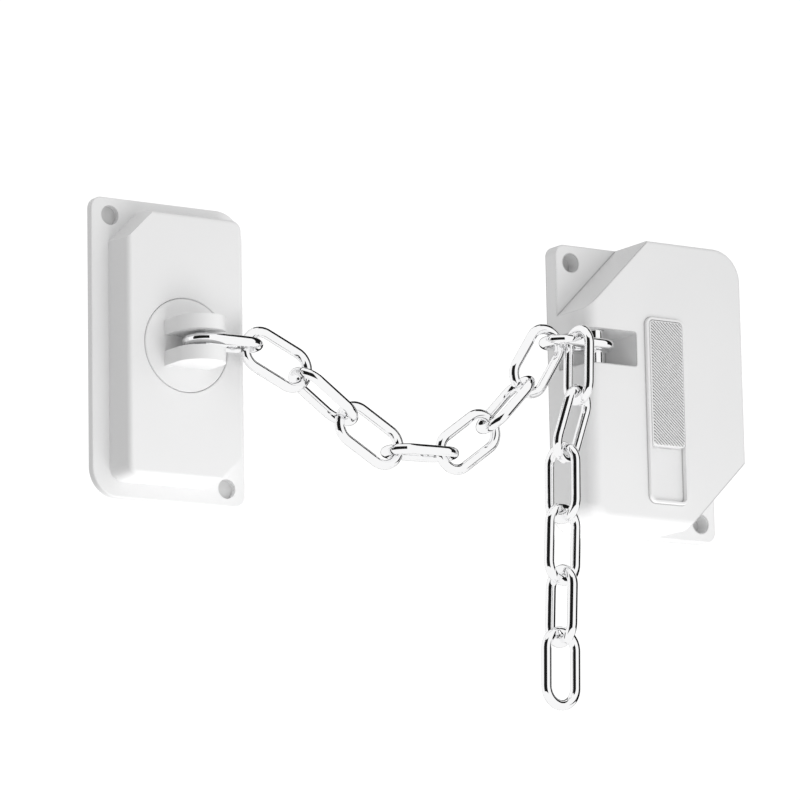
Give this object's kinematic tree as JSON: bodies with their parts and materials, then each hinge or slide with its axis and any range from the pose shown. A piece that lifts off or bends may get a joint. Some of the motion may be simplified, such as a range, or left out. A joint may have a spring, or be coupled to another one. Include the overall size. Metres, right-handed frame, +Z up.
{
  "type": "window chain lock",
  "caption": "White window chain lock: a swivel anchor unit and a latch unit joined by a chrome chain, freed by a ribbed slide.",
  "frame": {"origin": "middle of the latch unit's mounting face", "axes": "+X along the wall from the anchor unit to the latch unit, +Y into the wall, +Z up"},
  "size_m": [0.2003, 0.0286, 0.1343],
  "materials": {
    "white_plastic": "satin moulded",
    "chrome": "bright plated",
    "steel": "zinc plated"
  },
  "bodies": {
    "units": {"latch_housing": "white_plastic", "latch_back_plate": "white_plastic", "latch_back_screws": "steel", "latch_spring": "steel", "anchor_housing": "white_plastic"},
    "slider": {"slide_button": "white_plastic", "slide_carriage": "white_plastic", "carriage_screw": "steel", "latch_pin": "chrome"},
    "swivel": {"swivel": "white_plastic", "swivel_pin": "steel", "swivel_washer": "steel", "swivel_screw": "steel"},
    "link_01": {"link_01": "chrome"},
    "link_02": {"link_02": "chrome"},
    "link_03": {"link_03": "chrome"},
    "link_04": {"link_04": "chrome"},
    "link_05": {"link_05": "chrome"},
    "link_06": {"link_06": "chrome"},
    "link_07": {"link_07": "chrome"},
    "link_08": {"link_08": "chrome"},
    "link_09": {"link_09": "chrome"},
    "link_10": {"link_10": "chrome"},
    "link_11": {"link_11": "chrome"},
    "link_12": {"link_12": "chrome"},
    "link_13": {"link_13": "chrome"},
    "link_14": {"link_14": "chrome"},
    "link_15": {"link_15": "chrome"}
  },
  "joints": [
    {"name": "slide", "type": "slide", "parent": "units", "child": "slider", "axis": [0, 0, -1], "range_m": [0, 0.0152], "stiffness_N_per_m": 150, "springref_m": -0.02, "deforming": ["latch_spring"]},
    {"name": "swivel_turn", "type": "hinge", "parent": "units", "child": "swivel", "pos_m": [-0.15023, -0.01114, -0.00129], "axis": [0, 1, 0], "range_deg": [-0.5, 2]},
    {"name": "link_01_turn", "type": "hinge", "parent": "swivel", "child": "link_01", "pos_m": [-0.15023, -0.01812, -0.00129], "axis": [0, 0, 1], "range_deg": [-2, 1]},
    {"name": "link_05_turn", "type": "hinge", "parent": "units", "child": "link_05", "pos_m": [-0.13321, -0.01797, -0.00129], "axis": [-0.9937, -0.0087, -0.1117], "range_deg": [-12, 20]},
    {"name": "link_02_turn", "type": "hinge", "parent": "units", "child": "link_02", "pos_m": [-0.13321, -0.01797, -0.00129], "axis": [-0.9937, -0.0087, -0.1117], "range_deg": [-12, 20]},
    {"name": "link_03_turn", "type": "hinge", "parent": "units", "child": "link_03", "pos_m": [-0.13321, -0.01797, -0.00129], "axis": [-0.9937, -0.0087, -0.1117], "range_deg": [-12, 20]},
    {"name": "link_04_turn", "type": "hinge", "parent": "units", "child": "link_04", "pos_m": [-0.13321, -0.01797, -0.00129], "axis": [-0.9937, -0.0087, -0.1117], "range_deg": [-12, 20]},
    {"name": "link_06_turn", "type": "hinge", "parent": "units", "child": "link_06", "pos_m": [-0.13321, -0.01797, -0.00129], "axis": [-0.9937, -0.0087, -0.1117], "range_deg": [-12, 20]},
    {"name": "link_07_turn", "type": "hinge", "parent": "units", "child": "link_07", "pos_m": [-0.13321, -0.01797, -0.00129], "axis": [-0.9937, -0.0087, -0.1117], "range_deg": [-12, 20]},
    {"name": "link_08_turn", "type": "hinge", "parent": "units", "child": "link_08", "pos_m": [-0.13321, -0.01797, -0.00129], "axis": [-0.9937, -0.0087, -0.1117], "range_deg": [-12, 20]},
    {"name": "link_09_turn", "type": "hinge", "parent": "units", "child": "link_09", "pos_m": [-0.02225, -0.017, 0.00935], "axis": [0, 0, 1], "range_deg": [-4, 2]},
    {"name": "link_10_turn", "type": "hinge", "parent": "link_09", "child": "link_10", "pos_m": [-0.0312, -0.02205, 0.00935], "axis": [1, 0, 0], "range_deg": [-25, 0]},
    {"name": "link_11_turn", "type": "hinge", "parent": "link_10", "child": "link_11", "pos_m": [-0.0321, -0.02235, -0.00777], "axis": [-0.0009, 0.9998, -0.0174], "range_deg": [0, 15]},
    {"name": "link_12_turn", "type": "hinge", "parent": "link_11", "child": "link_12", "pos_m": [-0.03705, -0.02117, -0.02393], "axis": [-0.8689, -0.436, 0.2345], "range_deg": [-15, 5]},
    {"name": "link_13_turn", "type": "hinge", "parent": "link_12", "child": "link_13", "pos_m": [-0.03764, -0.02147, -0.04082], "axis": [0.1912, -0.9815, 0.0105], "range_deg": [-16, 16]},
    {"name": "link_14_turn", "type": "hinge", "parent": "link_13", "child": "link_14", "pos_m": [-0.03854, -0.02147, -0.05794], "axis": [0.9834, 0.1739, -0.0515], "range_deg": [-15, 15]},
    {"name": "link_15_turn", "type": "hinge", "parent": "link_14", "child": "link_15", "pos_m": [-0.03929, -0.02132, -0.07508], "axis": [-0.0345, 0.9994, 0.0102], "range_deg": [-20, 20]}
  ],
  "couplings": [
    {"joint": "link_02_turn", "follows": "link_05_turn", "ratio": 1},
    {"joint": "link_03_turn", "follows": "link_05_turn", "ratio": 1},
    {"joint": "link_04_turn", "follows": "link_05_turn", "ratio": 1},
    {"joint": "link_06_turn", "follows": "link_05_turn", "ratio": 1},
    {"joint": "link_07_turn", "follows": "link_05_turn", "ratio": 1},
    {"joint": "link_08_turn", "follows": "link_05_turn", "ratio": 1}
  ]
}
